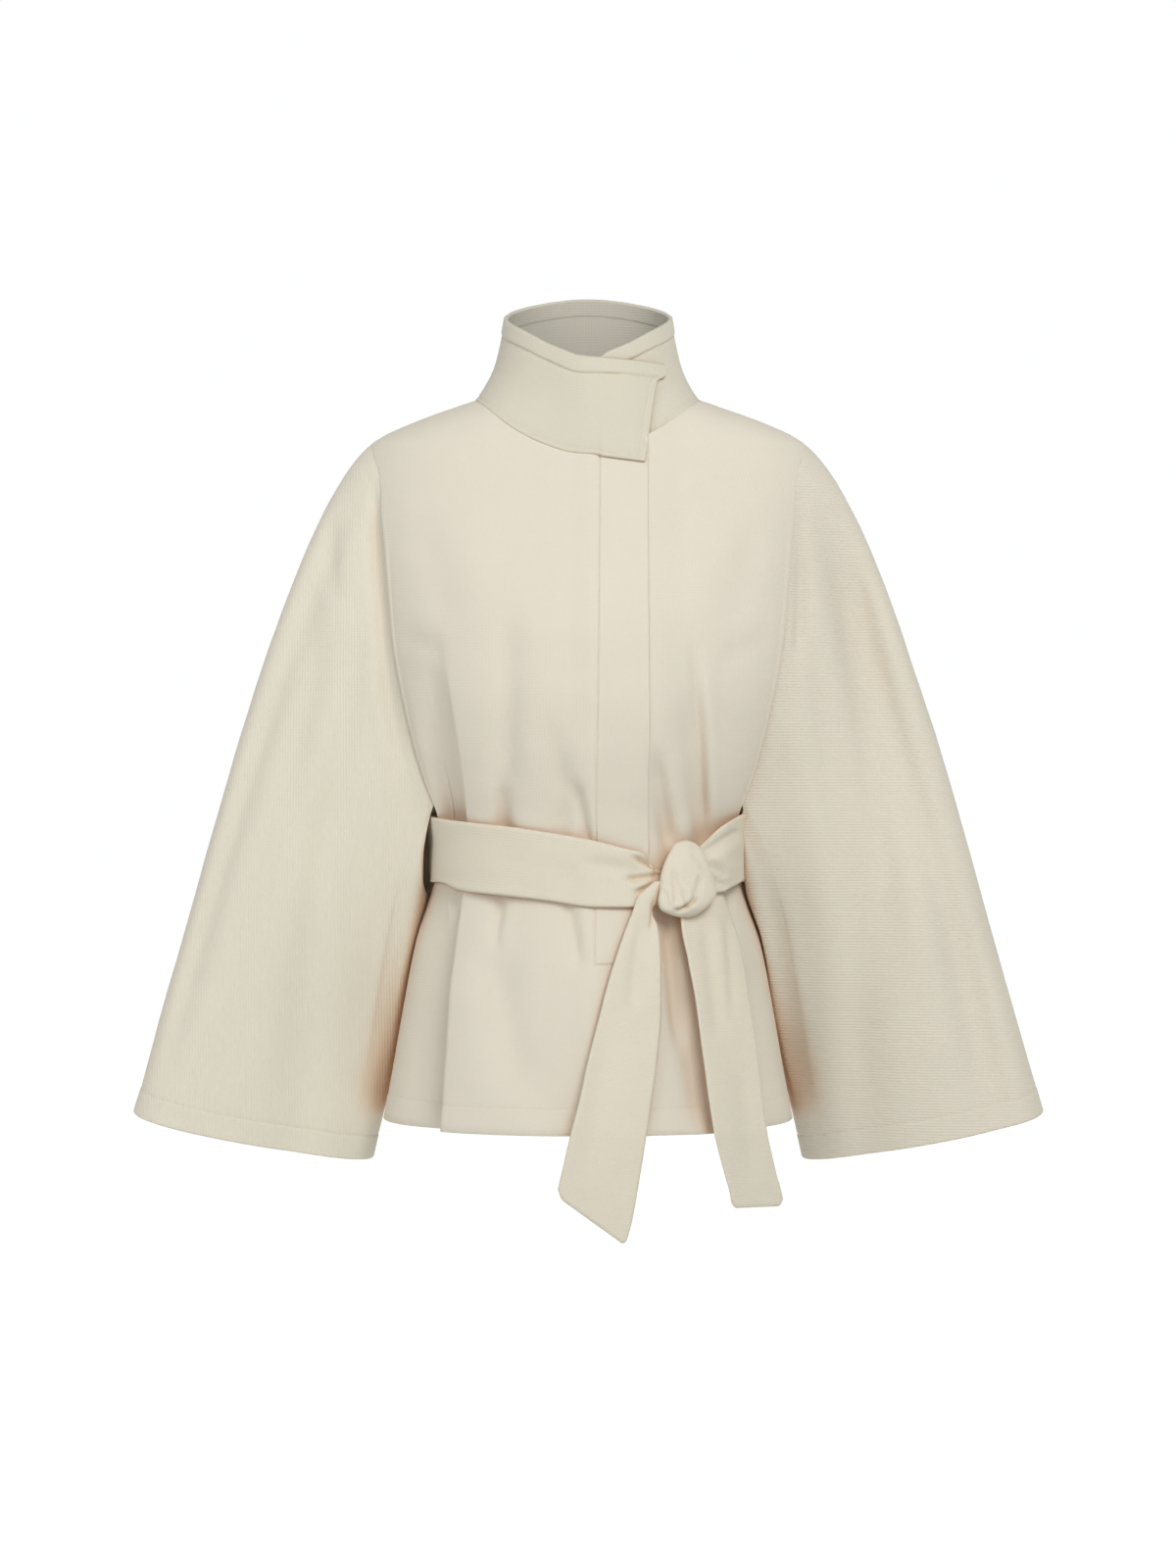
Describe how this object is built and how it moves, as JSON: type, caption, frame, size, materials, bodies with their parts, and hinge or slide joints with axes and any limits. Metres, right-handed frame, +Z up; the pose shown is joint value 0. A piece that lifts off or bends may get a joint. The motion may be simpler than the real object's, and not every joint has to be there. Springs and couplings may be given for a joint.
{
  "type": "belted trench coat",
  "caption": "Short belted coat with a funnel collar, wide cape sleeves and a tied belt, filled out as if worn, with no wearer.",
  "frame": {"origin": "midway between the two shoulder-neck points, at their height, where the shoulders carry the coat", "axes": "+Z up, the front faces -Y, +X is the wearer's left"},
  "size_m": [0.788, 0.2526, 0.8109],
  "materials": {
    "body_cloth": "matte rib-woven cotton coating, cream",
    "sleeve_cloth": "matte rib-woven cotton coating, cream",
    "collar_cloth": "matte rib-woven cotton coating, cream, stiffened",
    "belt_cloth": "matte rib-woven cotton coating, cream, doubled"
  },
  "bodies": {
    "root": {"front_right": "body_cloth", "front_left": "body_cloth", "back": "body_cloth", "sleeve_right": "sleeve_cloth", "sleeve_left": "sleeve_cloth", "collar": "collar_cloth", "belt_band": "belt_cloth", "belt_knot": "belt_cloth", "belt_tail_right": "belt_cloth", "belt_tail_left": "belt_cloth"}
  },
  "joints": []
}
